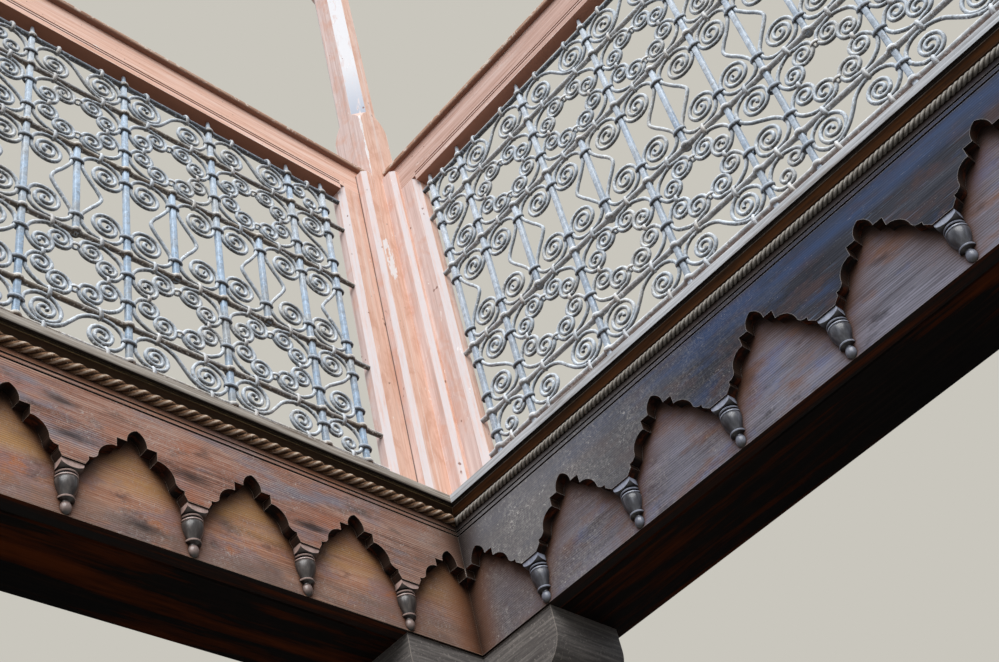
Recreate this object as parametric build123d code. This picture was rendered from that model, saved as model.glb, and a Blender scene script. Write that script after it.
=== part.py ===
"""Inside corner of a courtyard gallery: wrought-iron screens in timber frames on a carved fascia.

Two arms meet at a square corner post. Millimetres, +Z up. The right arm runs along +X and faces -Y,
the left arm runs along -Y and faces +X. The origin is the middle of the seat under the corner bolster.

Each arm is drawn in its own arm frame: a is the distance along it from the line where the two
carved faces meet, d is the depth behind the carved face, z is the height above the seat.
"""
import math
import os

from build123d import *

os.makedirs("parts", exist_ok=True)

# Timber floor edge, from the seat upwards
bolster_height = 120.0
bolster_front = 30.0
bolster_depth = 185.0
bolster_reach = 165.0
bolster_nose_radius = 70.0
end_bolster_length = 300.0
backboard_height = 331.0
backboard_thickness = 34.0
edge_beam_height = 220.0
edge_beam_depth = 185.0
beam_arris = 6.0
sole_plate_depth = 112.0
floor_board_thickness = 28.0
floor_board_depth = 230.0

# Carved board hung on the backboard
lambrequin_thickness = 24.0
lambrequin_height = 232.0
groove_width = 4.5
groove_depth = 4.0
groove_spacing = 11.5
groove_below_top = 51.0
apex_height = 118.0
arch_half_width = 20.0
arch_height = 32.0
arch_radius = 32.0
step_width = 20.0
step_height = 20.0
lobe_start = 6.0
lobe_width = 30.0
lobe_height = 36.0
lobe_radius = 38.0
cove_width = 17.0
cove_height = 10.0
cove_radius = 16.0
notch_height = 8.0
tongue_half_width = 21.0

# Split turned drops under the tongues
drop_sides = 12
drop_side = 42.0
drop_head_height = 22.0
drop_shoulder = 5.5
drop_neck_radius = 15.0
drop_ring_height = 7.0
drop_body_radius = 20.0
drop_body_height = 33.0
drop_waist_radius = 11.0
drop_bead_radius = 14.0
drop_bead_height = 11.0
drop_ball_radius = 9.5
drop_ball_gap = 4.0
drop_ball_neck = 5.5

# Mouldings and sill
rope_radius = 11.5
rope_below_sill = 26.0
rope_centre_out = 4.0
cornice_height = 14.0
cornice_reach = 18.0
cornice_fillet = 6.0
cornice_foot = 3.0
cornice_radius = 18.5
sill_thickness = 20.0
sill_overhang = 25.0
sill_depth = 130.0

# Timber frame of the screens
corner_post_width = 112.0
corner_post_depth = 93.0
end_post_side = 100.0
post_arris_right = -3.0
post_arris_left = 18.0
post_block_height = 1379.0
post_shaft_height = 840.0
post_top_block = 180.0
post_chamfer = 30.0
chamfer_stop = 60.0
chamfer_stop_radius = 130.0
frame_front = 36.0
frame_thickness = 36.0
jamb_chamfer = 14.0
jamb_rise = 18.0
batten_chamfer = 11.0
batten_below_cap = 20.0
opening_height = 1042.0
bottom_rail_height = 53.0
top_rail_height = 112.0
rail_groove_width = 4.5
rail_groove_depth = 3.0
rail_groove_spacing = 9.0
rail_groove_above = 20.0
cap_thickness = 18.0
cap_nose = 14.0
cap_nose_radius = 7.0
cap_depth = 58.0

# Wrought-iron grille
grille_depth = 55.0
horizontal_bar = 15.0
vertical_bar = 13.0
lowest_bar_above_rail = 39.0
highest_bar_below_rail = 40.0
row_shares = [100.0, 210.0, 279.0, 209.0, 112.0]
half_bay = 108.0
full = "full"
half = "half"

# Wires of the middle row: a curl beside the plain upright, half a vase beside the other
wire = 9.0
weld = 1.0
curl_radius = 38.0
curl_eye = 13.0
curl_below_bar = 59.0
curl_steps = 6
arch_below_bar = 55.0
arch_steps = 3
vase_swell = 57.0
vase_steps = 2

# The two arms: where the opening starts, its bays, and how the carved board is set out
arms = {
    "right": {
        "post_face": post_arris_right,
        "jamb_width": 98.0,
        "batten_width": 41.0,
        "batten_front": 16.0,
        "end_gap": 31.0,
        "bay_pitch": 229.0,
        "bays": [half, full, full, full, half, full, full, full, half],
        "first_tongue": 167.5,
        "tongue_pitch": 253.5,
    },
    "left": {
        "post_face": post_arris_left,
        "jamb_width": 93.0,
        "batten_width": 31.0,
        "batten_front": 3.0,
        "end_gap": 55.0,
        "bay_pitch": 233.0,
        "bays": [half, full, full, full, half],
        "first_tongue": 161.0,
        "tongue_pitch": 241.0,
    },
}
arm_overrun = 80.0

# Levels and depths worked out from the sizes above
fascia_bottom = bolster_height
fascia_top = fascia_bottom + backboard_height
sill_top = fascia_top + sill_thickness
lambrequin_bottom = fascia_top - lambrequin_height
beam_top = fascia_bottom + edge_beam_height
backboard_front = lambrequin_thickness
backboard_back = backboard_front + backboard_thickness
opening_top = sill_top + opening_height
jamb_top = opening_top + jamb_rise
rail_top = opening_top + top_rail_height
frame_back = frame_front + frame_thickness
batten_top = rail_top - batten_below_cap
lowest_bar = sill_top + bottom_rail_height + lowest_bar_above_rail
highest_bar = opening_top - highest_bar_below_rail
bar_levels = [lowest_bar]
for share in row_shares:
    bar_levels.append(bar_levels[-1] + (highest_bar - lowest_bar) * share / sum(row_shares))
seat_offset = bolster_front + bolster_depth / 2

mitre_plane = Plane(origin=(0, 0, 0), z_dir=(1, 1, 0))
origin_shift = Location((seat_offset, -seat_offset, 0))


def block(a0, a1, d0, d1, z0, z1):
    """A plain squared timber between two corners."""
    size = (a1 - a0, d1 - d0, z1 - z0)
    return Pos((a0 + a1) / 2, (d0 + d1) / 2, (z0 + z1) / 2) * Box(*size)


def run(outline, start, end):
    """A section drawn in depth and height, run along the arm."""
    section = Plane.YZ * make_face(outline)
    return Pos(start, 0, 0) * extrude(section, end - start, dir=(1, 0, 0))


def mitred(solid):
    """Cuts a run that starts behind the corner back to the mitre between the arms."""
    return split(solid, bisect_by=mitre_plane, keep=Keep.TOP)


def arm_length(arm):
    return post_end(arm) + arm_overrun


def opening_start(arm):
    return arm["post_face"] + arm["jamb_width"]


def bar_places(arm):
    """Where the full-height bars stand along an arm."""
    places = [opening_start(arm) + arm["end_gap"]]
    for bay in arm["bays"]:
        places.append(places[-1] + (half_bay if bay == half else arm["bay_pitch"]))
    return places


def opening_end(arm):
    return bar_places(arm)[-1] + arm["end_gap"]


def post_start(arm):
    return opening_end(arm) + arm["jamb_width"]


def post_end(arm):
    return post_start(arm) + end_post_side


def backboard(arm):
    back = backboard_back
    board = block(-back, arm_length(arm), backboard_front, back, fascia_bottom, fascia_top)
    return mitred(board)


def edge_beam(arm):
    """The beam behind the backboard, its lower front arris taken off."""
    front = backboard_back
    back = front + edge_beam_depth
    outline = Polyline(
        (front + beam_arris, fascia_bottom),
        (back, fascia_bottom),
        (back, beam_top),
        (front, beam_top),
        (front, fascia_bottom + beam_arris),
        close=True,
    )
    return mitred(run(outline, -back, arm_length(arm)))


def sole_plate(arm):
    front = backboard_back
    back = front + sole_plate_depth
    return mitred(block(-back, arm_length(arm), front, back, beam_top, fascia_top))


def floor_boards(arm):
    front = backboard_back + sole_plate_depth
    back = front + floor_board_depth
    top = beam_top + floor_board_thickness
    return mitred(block(-back, arm_length(arm), front, back, beam_top, top))


def half_scallop(centre, reach, side):
    """Edges of the carved edge from an apex out to the middle of a tongue, one way along the arm."""
    apex = lambrequin_bottom + apex_height
    arch_foot = apex - arch_height
    step_foot = arch_foot - step_height
    lobe_foot = step_foot - lobe_height
    cove_foot = lobe_foot - cove_height
    notch_foot = cove_foot - notch_height
    at = [arch_half_width]
    for width in (step_width, lobe_start, lobe_width, cove_width):
        at.append(at[-1] + width)
    tongue = reach - tongue_half_width

    def point(along, height):
        return (centre + side * along, height)

    return [
        RadiusArc(point(0, apex), point(at[0], arch_foot), side * arch_radius),
        Line(point(at[0], arch_foot), point(at[1], arch_foot)),
        Line(point(at[1], arch_foot), point(at[1], step_foot)),
        Line(point(at[1], step_foot), point(at[2], step_foot)),
        RadiusArc(point(at[2], step_foot), point(at[3], lobe_foot), side * lobe_radius),
        RadiusArc(point(at[3], lobe_foot), point(at[4], cove_foot), -side * cove_radius),
        Line(point(at[4], cove_foot), point(at[4], notch_foot)),
        Line(point(at[4], notch_foot), point(tongue, lambrequin_bottom)),
        Line(point(tongue, lambrequin_bottom), point(reach, lambrequin_bottom)),
    ]


def tongue_places(arm):
    places = []
    at = arm["first_tongue"]
    while at + drop_side / 2 < arm_length(arm):
        places.append(at)
        at += arm["tongue_pitch"]
    return places


def lambrequin(arm):
    """The scalloped board: set out from tongue to tongue, then cut off at the corner and the end."""
    pitch = arm["tongue_pitch"]
    reach = pitch / 2
    apexes = [arm["first_tongue"] - reach]
    while apexes[-1] < arm_length(arm):
        apexes.append(apexes[-1] + pitch)
    edges = []
    for apex in apexes:
        edges += half_scallop(apex, reach, -1)
        edges += half_scallop(apex, reach, 1)
    first = (apexes[0] - reach, lambrequin_bottom)
    last = (apexes[-1] + reach, lambrequin_bottom)
    edges += [
        Line(last, (last[0], fascia_top)),
        Line((last[0], fascia_top), (first[0], fascia_top)),
        Line((first[0], fascia_top), first),
    ]
    face = make_face(Wire.combine(edges)[0].edges())
    board = Pos(0, lambrequin_thickness, 0) * extrude(Plane.XZ * face, lambrequin_thickness)
    board = board & block(
        -lambrequin_thickness, arm_length(arm), 0, lambrequin_thickness, fascia_bottom, fascia_top
    )
    upper = fascia_top - groove_below_top
    for level in (upper, upper - groove_spacing):
        board -= run(groove_outline(0, level, groove_width, groove_depth), -sill_overhang, arm_length(arm))
    return mitred(board)


def groove_outline(front, level, width, depth):
    """A V groove cut into a face that looks at the court."""
    return Polyline(
        (front - depth, level + width),
        (front + depth, level),
        (front - depth, level - width),
        close=True,
    )


def tapers(rings):
    """Turned work with few sides: flat faces from ring to ring, each ring given as level and radius."""
    circles = []
    for level, radius in rings:
        turns = [2 * math.pi * k / drop_sides for k in range(drop_sides)]
        circles.append([(radius * math.cos(turn), radius * math.sin(turn), level) for turn in turns])
    outlines = [circles[0], circles[-1]]
    for above, below in zip(circles, circles[1:]):
        for k in range(drop_sides):
            outlines.append((above[k - 1], above[k], below[k], below[k - 1]))
    faces = [make_face(Polyline(*outline, close=True)).face() for outline in outlines]
    return Solid(Shell(faces))


def drop(top):
    """A split turning: square head with a cut shoulder, ring, tapering body, bead and ball."""
    corner = drop_side / 2**0.5 / math.cos(math.pi / drop_sides)
    neck = top - drop_head_height
    ring = neck - drop_ring_height
    body = ring - drop_body_height
    bead = body - drop_bead_height
    ball = bead - drop_ball_gap
    turned = tapers(
        [
            (top, corner),
            (top - drop_shoulder, corner),
            (neck, drop_neck_radius),
            (neck, drop_body_radius),
            (ring, drop_body_radius),
            (body, drop_waist_radius),
            (body - drop_bead_height / 2, drop_bead_radius),
            (bead, drop_ball_neck),
            (ball, drop_ball_neck),
            (ball - drop_ball_radius, drop_ball_radius),
            (ball - 2 * drop_ball_radius, drop_ball_neck / 2),
        ]
    )
    return turned & block(-drop_side / 2, drop_side / 2, -drop_side / 2, 0, 0, top)


def pendants(arm):
    """One split turning under each tongue, its flat back against the backboard."""
    turning = drop(lambrequin_bottom)
    drops = [Pos(at, backboard_front, 0) * turning for at in tongue_places(arm)]
    return Compound(children=drops)


def rope_moulding(arm):
    """A round moulding planted on the face, flat where it lies on the board."""
    centre = fascia_top - rope_below_sill
    rod = Circle(rope_radius)
    section = Plane.YZ * (Pos(-rope_centre_out, centre) * rod)
    start = -rope_radius - rope_centre_out
    solid = Pos(start, 0, 0) * extrude(section, arm_length(arm) - start, dir=(1, 0, 0))
    far = rope_radius * 2
    solid = solid & block(start, arm_length(arm), -far, 0, centre - far, centre + far)
    return mitred(solid)


def cornice(arm):
    """A cavetto and its fillet under the sill."""
    bottom = fascia_top - cornice_height
    fillet_bottom = fascia_top - cornice_fillet
    outline = [
        Line((0, bottom), (-cornice_foot, bottom)),
        RadiusArc((-cornice_foot, bottom), (-cornice_reach, fillet_bottom), -cornice_radius),
        Line((-cornice_reach, fillet_bottom), (-cornice_reach, fascia_top)),
        Line((-cornice_reach, fascia_top), (0, fascia_top)),
        Line((0, fascia_top), (0, bottom)),
    ]
    return mitred(run(outline, 0, arm_length(arm)))


def sill(arm):
    board = block(-sill_depth, arm_length(arm), -sill_overhang, sill_depth, fascia_top, sill_top)
    return mitred(board)


def corner_bolster(arm):
    """A short block under the corner that carries the beams, its nose rounded below."""
    start = -bolster_front - bolster_depth
    if arm is arms["left"]:
        start = -bolster_front
    return bolster(start, bolster_reach)


def bolster(start, end):
    back = bolster_front + bolster_depth
    radius = bolster_nose_radius
    outline = [
        Line((start, 0), (end - radius, 0)),
        RadiusArc((end - radius, 0), (end, radius), -radius),
        Line((end, radius), (end, bolster_height)),
        Line((end, bolster_height), (start, bolster_height)),
        Line((start, bolster_height), (start, 0)),
    ]
    face = Plane.XZ * make_face(outline)
    return Pos(0, back, 0) * extrude(face, bolster_depth)


def end_bolster(arm):
    nose_inwards = bolster(-arm_length(arm), end_bolster_length - arm_length(arm))
    return mirror(nose_inwards, about=Plane.YZ)


def post(corner_a, corner_d, width, depth):
    """A squared post, its four corners chamfered over the shaft and stopped above and below."""
    shaft_bottom = sill_top + post_block_height
    shaft_top = shaft_bottom + post_shaft_height
    far_a, far_d = corner_a + width, corner_d + depth
    timber = block(corner_a, far_a, corner_d, far_d, sill_top, shaft_top + post_top_block)
    cut = post_chamfer / 2**0.5
    reach = width + depth
    outline = [
        Line((-reach, shaft_bottom), (0, shaft_bottom)),
        RadiusArc((0, shaft_bottom), (cut, shaft_bottom + chamfer_stop), chamfer_stop_radius),
        Line((cut, shaft_bottom + chamfer_stop), (cut, shaft_top - chamfer_stop)),
        RadiusArc((cut, shaft_top - chamfer_stop), (0, shaft_top), chamfer_stop_radius),
        Line((0, shaft_top), (-reach, shaft_top)),
        Line((-reach, shaft_top), (-reach, shaft_bottom)),
    ]
    cutter = Pos(0, reach / 2, 0) * extrude(Plane.XZ * make_face(outline), reach)
    for at, inwards in ((corner_a, 1), (far_a, -1)):
        for deep, backwards in ((corner_d, 1), (far_d, -1)):
            turn = math.degrees(math.atan2(backwards, inwards))
            timber -= Pos(at, deep, 0) * Rot(0, 0, turn) * cutter
    return timber


def corner_post():
    corner_a = post_arris_right - corner_post_width
    return post(corner_a, -post_arris_left, corner_post_width, corner_post_depth)


def end_post(arm):
    return post(post_start(arm), 0, end_post_side, end_post_side)


def jamb(a_post, a_opening, height):
    """A flat upright with a chamfer towards the opening."""
    inwards = 1 if a_opening > a_post else -1
    outline = Polyline(
        (a_post, frame_front),
        (a_opening - inwards * jamb_chamfer, frame_front),
        (a_opening, frame_front + jamb_chamfer),
        (a_opening, frame_back),
        (a_post, frame_back),
        close=True,
    )
    return Pos(0, 0, sill_top) * extrude(make_face(outline), height, dir=(0, 0, 1))


def corner_jamb(arm):
    return jamb(arm["post_face"], opening_start(arm), jamb_top - sill_top)


def end_jamb(arm):
    return jamb(post_start(arm), opening_end(arm), jamb_top - sill_top)


def batten(a_post, inwards, arm):
    """A batten planted on the jamb against the post, chamfered on its free edge."""
    front = arm["batten_front"]
    free = a_post + inwards * arm["batten_width"]
    outline = Polyline(
        (a_post, front),
        (free - inwards * batten_chamfer, front),
        (free, front + batten_chamfer),
        (free, frame_front),
        (a_post, frame_front),
        close=True,
    )
    return Pos(0, 0, sill_top) * extrude(make_face(outline), batten_top - sill_top, dir=(0, 0, 1))


def corner_batten(arm):
    return batten(arm["post_face"], 1, arm)


def end_batten(arm):
    return batten(post_start(arm), -1, arm)


def bottom_rail(arm):
    top = sill_top + bottom_rail_height
    return block(opening_start(arm), opening_end(arm), frame_front, frame_back, sill_top, top)


def top_rail(arm):
    """The rail over the opening, raised over the jambs, with a pair of fine grooves."""
    start, end = arm["post_face"], post_start(arm)
    rail = block(start, end, frame_front, frame_back, jamb_top, rail_top)
    rail += block(
        opening_start(arm), opening_end(arm), frame_front, frame_back, opening_top, jamb_top
    )
    for k in (0, 1):
        level = opening_top + rail_groove_above + k * rail_groove_spacing
        groove = groove_outline(frame_front, level, rail_groove_width, rail_groove_depth)
        rail -= run(groove, opening_start(arm), opening_end(arm))
    return rail


def rail_cap(arm):
    """The capping with its rounded nose towards the court."""
    front = frame_front - cap_nose
    top = rail_top + cap_thickness
    cap = block(arm["post_face"], post_start(arm), front, front + cap_depth, rail_top, top)
    nose = cap.edges().filter_by(Axis.X).group_by(Axis.Y)[0]
    return fillet(nose, cap_nose_radius)


def grille_bars(arm):
    """Upright and level bars fused where they cross, with the bent wires of the middle row."""
    start, end = opening_start(arm), opening_end(arm)
    low, high = sill_top + bottom_rail_height, opening_top
    flat = Sketch()
    for level in bar_levels:
        flat += Pos((start + end) / 2, level) * Rectangle(end - start, horizontal_bar)
    for at in bar_places(arm):
        flat += Pos(at, (low + high) / 2) * Rectangle(vertical_bar, high - low)
    for at in middle_places(arm):
        level = (bar_levels[2] + bar_levels[3]) / 2
        flat += Pos(at, level) * Rectangle(vertical_bar, bar_levels[3] - bar_levels[2])
    wires = Sketch()
    places = sorted(bar_places(arm) + middle_places(arm))
    for k, (left, right) in enumerate(zip(places, places[1:])):
        points = vase_wire(right - left, bar_levels[3] - bar_levels[2])
        if k % 2 == 0:
            points = [(right - left - x, z) for x, z in points]
        points = [(left + x, bar_levels[2] + z) for x, z in points]
        wires += make_face(Polyline(*stroke(points), close=True))
    return set_in_depth(flat, horizontal_bar) + set_in_depth(wires, wire)


def set_in_depth(flat, thickness):
    """Thickens a drawing of the grille about the grille's own plane."""
    back = grille_depth + thickness / 2
    return Pos(0, back, 0) * extrude(Plane.XZ * flat, thickness)


def vase_wire(width, height):
    """Points of a wire between a plain upright on its left and one with a vase on its right."""
    beside = (vertical_bar + wire) / 2 - weld
    under = (horizontal_bar + wire) / 2 - weld
    upper = []
    for k in range(curl_steps + 1):
        share = k / curl_steps
        reach = curl_eye + (curl_radius - curl_eye) * share
        angle = math.pi * (3 - 2 * share)
        centre = beside + curl_radius
        upper.append(
            (centre + reach * math.cos(angle), height - curl_below_bar + reach * math.sin(angle))
        )
    for k in range(1, arch_steps + 1):
        angle = math.pi * (1 - k / arch_steps)
        along = (width / 2 - beside) * math.cos(angle)
        upwards = (arch_below_bar - under) * math.sin(angle)
        upper.append((width / 2 + along, height - arch_below_bar + upwards))
    for k in range(1, vase_steps):
        share = k / vase_steps
        swell = (vase_swell - beside) * (1 - math.cos(math.pi * share)) / 2
        fall = (height / 2 - arch_below_bar) * share
        upper.append((width - beside - swell, height - arch_below_bar - fall))
    lower = [(x, height - z) for x, z in reversed(upper)]
    return upper + [(width - vase_swell, height / 2)] + lower


def stroke(points):
    """The outline of a wire bent through points, one side after the other."""
    near, far = [], []
    for k, point in enumerate(points):
        here = Vector(*point)
        before = Vector(*points[max(k - 1, 0)])
        after = Vector(*points[min(k + 1, len(points) - 1)])
        along = (after - before).normalized()
        leg = (after - here if k == 0 else here - before).normalized()
        aside = Vector(-along.Y, along.X) * (wire / 2 / along.dot(leg))
        near.append(here + aside)
        far.append(here - aside)
    return near + far[::-1]


def middle_places(arm):
    """The extra uprights of the middle row, one in each full bay."""
    places = bar_places(arm)
    middles = []
    for bay, left, right in zip(arm["bays"], places, places[1:]):
        if bay == full:
            middles.append((left + right) / 2)
    return middles


pieces = {
    "backboard": backboard,
    "edge_beam": edge_beam,
    "sole_plate": sole_plate,
    "floor_boards": floor_boards,
    "lambrequin": lambrequin,
    "pendants": pendants,
    "rope_moulding": rope_moulding,
    "cornice": cornice,
    "sill": sill,
    "corner_bolster": corner_bolster,
    "end_bolster": end_bolster,
    "corner_jamb": corner_jamb,
    "end_jamb": end_jamb,
    "corner_batten": corner_batten,
    "end_batten": end_batten,
    "end_post": end_post,
    "bottom_rail": bottom_rail,
    "top_rail": top_rail,
    "rail_cap": rail_cap,
    "grille_bars": grille_bars,
}


def save(name, shape):
    export_step(origin_shift * shape, "parts/" + name + ".step")


for side, arm in arms.items():
    for name, build in pieces.items():
        piece = build(arm)
        if side == "left":
            piece = mirror(piece, about=mitre_plane)
        save(side + "_" + name, piece)
save("corner_post", corner_post())
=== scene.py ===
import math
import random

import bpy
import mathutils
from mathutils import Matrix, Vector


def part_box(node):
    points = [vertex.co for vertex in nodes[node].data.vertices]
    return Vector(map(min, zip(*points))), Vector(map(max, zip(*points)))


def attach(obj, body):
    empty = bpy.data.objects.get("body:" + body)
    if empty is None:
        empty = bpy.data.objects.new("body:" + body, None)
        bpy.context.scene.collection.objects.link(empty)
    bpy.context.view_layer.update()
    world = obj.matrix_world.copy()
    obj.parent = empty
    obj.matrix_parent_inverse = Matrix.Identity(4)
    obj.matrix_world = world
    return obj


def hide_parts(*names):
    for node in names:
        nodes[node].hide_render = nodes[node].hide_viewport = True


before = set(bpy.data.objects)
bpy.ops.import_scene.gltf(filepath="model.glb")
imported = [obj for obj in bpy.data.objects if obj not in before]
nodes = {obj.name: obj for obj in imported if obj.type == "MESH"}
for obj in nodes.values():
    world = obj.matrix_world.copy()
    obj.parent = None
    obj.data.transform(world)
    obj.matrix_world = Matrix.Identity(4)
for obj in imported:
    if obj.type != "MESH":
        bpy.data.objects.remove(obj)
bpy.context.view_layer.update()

# Inside corner of a courtyard gallery: forged screens in painted timber frames, on a carved fascia.
# The right arm runs along +X and faces -Y, the left arm runs along -Y and faces +X.
# Pieces of an arm are made in the arm's own frame and then laid in place: X along the arm from
# the line where the two carved faces meet, Y the depth behind the carved face, Z the height.

mm = 0.001

# Where the carved faces meet, as the frame has it
corner_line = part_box("left_lambrequin")[1].x

# Ironwork, in millimetres
grille_depth = 55.0
level_bar = 13.0
upright_bar = 12.5
wire = 9.0
bar_levels = [563.0, 663.0, 873.0, 1152.0, 1361.0, 1473.0]
half_bay = 108.0
full = "full"
half = "half"
eye_radius = 5.0
collar_height = 13.0
tie_width = 10.0
short_tail = 7.5

arms = {
    "right": {"first_bar": 126.0, "bay_pitch": 229.0, "bays": [half, full, full, full] * 2 + [half]},
    "left": {"first_bar": 166.0, "bay_pitch": 233.0, "bays": [half, full, full, full, half]},
}

# Rope moulding, in millimetres: the right arm's is thinner, lies lower and twists like the left one's
rope_radius = {"right": 7.8, "left": 11.0}
rope_drop = {"right": 4.5, "left": 0.5}
rope_pitch = {"right": 11.5, "left": 26.0}
rope_strands = 3
rope_out = 4.0

# Turned drops, in millimetres: radius and depth below the tongue, from the head down to the ball
drop_side = 42.0
drop_back = 24.0
tongue_pitch = {"right": 253.5, "left": 241.0}
drop_profile = [
    (30.0, 0.0), (30.0, 5.0), (28.0, 8.5), (24.0, 11.5), (19.0, 14.0), (16.0, 15.2),
    (16.0, 16.2), (19.6, 17.2), (20.5, 19.0), (19.6, 20.8), (15.6, 22.0), (15.6, 23.6),
    (18.6, 24.4), (20.8, 26.0), (20.8, 28.2), (19.5, 29.6), (20.4, 31.2), (20.9, 35.0),
    (20.4, 41.0), (18.6, 48.0), (15.8, 55.0), (13.0, 61.0), (11.6, 65.0), (12.0, 66.2),
    (15.0, 67.2), (15.8, 69.0), (15.0, 70.8), (10.6, 72.2), (7.4, 73.6), (7.2, 76.0),
    (9.0, 78.6), (10.2, 83.5), (9.8, 89.5), (7.4, 94.5), (3.8, 97.3), (0.5, 98.0),
]

# Grain of the wood: sizes in millimetres, and how much the rings waver as the node counts it
ring_spacing = 4.6
knot_radius = 9
ring_ripple = 9.0

# Bands of the finishes, from their lowest to their highest height in millimetres
board_grooves = (384, 405)
rail_grooves = (1526, 1548)
drop_rims = ((198, 202), (190, 194.5), (148.5, 152))
chipped = (1200, 1320)

# Heights in millimetres between which a finish sets in: none of it at the first, all of it at the second
drop_ball = (145, 141)
drop_head = (203, 205)
cove_top = (446, 444)
sill_shaded_foot = (457, 452)
sill_nose = (460, 466)
above_rails = (1600, 1650)
shaft_start = (1846, 1856)
shaft_paler = (1900, 2150)

# The photograph's view, solved on the two arms: the camera's place in metres and its own axes
camera_place = (1.71352, -1.92797, -1.40635)
camera_right = (0.659023, 0.726454, -0.194815)
camera_up = (0.618708, -0.376343, 0.689614)
camera_back = (0.427656, -0.575005, -0.697481)
sensor_width = 36.0
lens = 51.67
near_clip = 0.05

# The lamp in degrees, and the floor in metres
sun_lean = 50
sun_turn = 42
sun_spread = 50
sun_strength = 3.0
floor_size = 40

random.seed(7)


def colour(hex_value):
    """An sRGB hex value as linear red, green, blue and alpha."""
    parts = [int(hex_value[k:k + 2], 16) / 255 for k in (1, 3, 5)]
    linear = [c / 12.92 if c <= 0.04045 else ((c + 0.055) / 1.055) ** 2.4 for c in parts]
    return (*linear, 1.0)


def add(tree, kind, inputs=None, output=0, stops=(), **settings):
    """Adds a node with its settings, its links and values by socket, and gives one of its outputs."""
    made = tree.nodes.new(kind)
    for name, value in settings.items():
        setattr(made, name, value)
    for socket, value in (inputs or {}).items():
        if isinstance(value, bpy.types.NodeSocket):
            tree.links.new(value, made.inputs[socket])
        else:
            made.inputs[socket].default_value = colour(value) if isinstance(value, str) else value
    if stops:
        band = made.color_ramp.elements
        while len(band) < len(stops):
            band.new(0.5)
        for element, (position, value) in zip(band, stops):
            element.position = position
            element.color = colour(value) if isinstance(value, str) else (value, value, value, 1.0)
    return made.outputs[output]


def pattern(tree, size, detail=4.0, roughness=0.6, distortion=0.0):
    """Noise on object coordinates whose blotches measure about size millimetres along each axis."""
    place = add(tree, "ShaderNodeTexCoord", output="Object")
    scaled = add(tree, "ShaderNodeMapping", {"Vector": place, "Scale": [1000 / s for s in size]})
    return add(
        tree,
        "ShaderNodeTexNoise",
        {"Vector": scaled, "Scale": 1.0, "Detail": detail, "Roughness": roughness, "Distortion": distortion},
        "Fac",
    )


def blotches(tree, size, stops, detail=4.0, roughness=0.6, distortion=0.0):
    """The same noise, graded through stops of position and colour, or position and strength."""
    noise = pattern(tree, size, detail, roughness, distortion)
    return add(tree, "ShaderNodeValToRGB", {"Fac": noise}, stops=stops)


def coat(tree, under, over, *masks):
    """Lays one colour over another, as thick as the product of its masks."""
    thickness = masks[0]
    for mask in masks[1:]:
        thickness = add(tree, "ShaderNodeMath", {0: thickness, 1: mask}, operation="MULTIPLY")
    return add(tree, "ShaderNodeMix", {0: thickness, 6: under, 7: over}, 2, data_type="RGBA")


def facing(tree, direction, start, end, both_ways=False):
    """How far a surface faces a direction: 0 up to start, 1 from end."""
    normal = add(tree, "ShaderNodeTexCoord", output="Normal")
    if both_ways:
        normal = add(tree, "ShaderNodeVectorMath", {0: normal}, operation="ABSOLUTE")
        direction = [abs(part) for part in direction]
    dot = add(tree, "ShaderNodeVectorMath", {0: normal, 1: direction}, "Value", operation="DOT_PRODUCT")
    return add(tree, "ShaderNodeMapRange", {"Value": dot, "From Min": start, "From Max": end})


def beyond(tree, axis, start, end):
    """How far a point lies along an axis, in millimetres: 0 up to start, 1 from end."""
    place = add(tree, "ShaderNodeTexCoord", output="Object")
    reach = add(tree, "ShaderNodeSeparateXYZ", {"Vector": place}, axis)
    return add(tree, "ShaderNodeMapRange", {"Value": reach, "From Min": start * mm, "From Max": end * mm})


def between(tree, low, high, soft=0.5):
    """White between two heights, in millimetres, fading out over a soft edge."""
    above = beyond(tree, "Z", low - soft, low)
    below = beyond(tree, "Z", high + soft, high)
    return add(tree, "ShaderNodeMath", {0: above, 1: below}, operation="MULTIPLY")


def grooved(tree, low, high):
    """White on the slopes of grooves that run level between two heights, in millimetres."""
    level = between(tree, low, high)
    sloping = facing(tree, (0, 0, 1), 0.2, 0.4, both_ways=True)
    return add(tree, "ShaderNodeMath", {0: level, 1: sloping}, operation="MULTIPLY")


def growth_rings(tree, axis):
    """Lines of the growth rings on a sawn face, rippled along the board."""
    place = add(tree, "ShaderNodeTexCoord", output="Object")
    lines = 0.314 * 1000 / ring_spacing
    slow = {"x": (6, 6, lines), "y": (6, 6, lines)}[axis]
    scaled = add(tree, "ShaderNodeMapping", {"Vector": place, "Scale": slow})
    return add(
        tree,
        "ShaderNodeTexWave",
        {
            "Vector": scaled, "Scale": 1.0, "Distortion": ring_ripple,
            "Detail": 2.0, "Detail Scale": 0.3, "Detail Roughness": 0.4,
        },
        "Fac",
        wave_type="BANDS",
        bands_direction="Z",
    )


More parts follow.
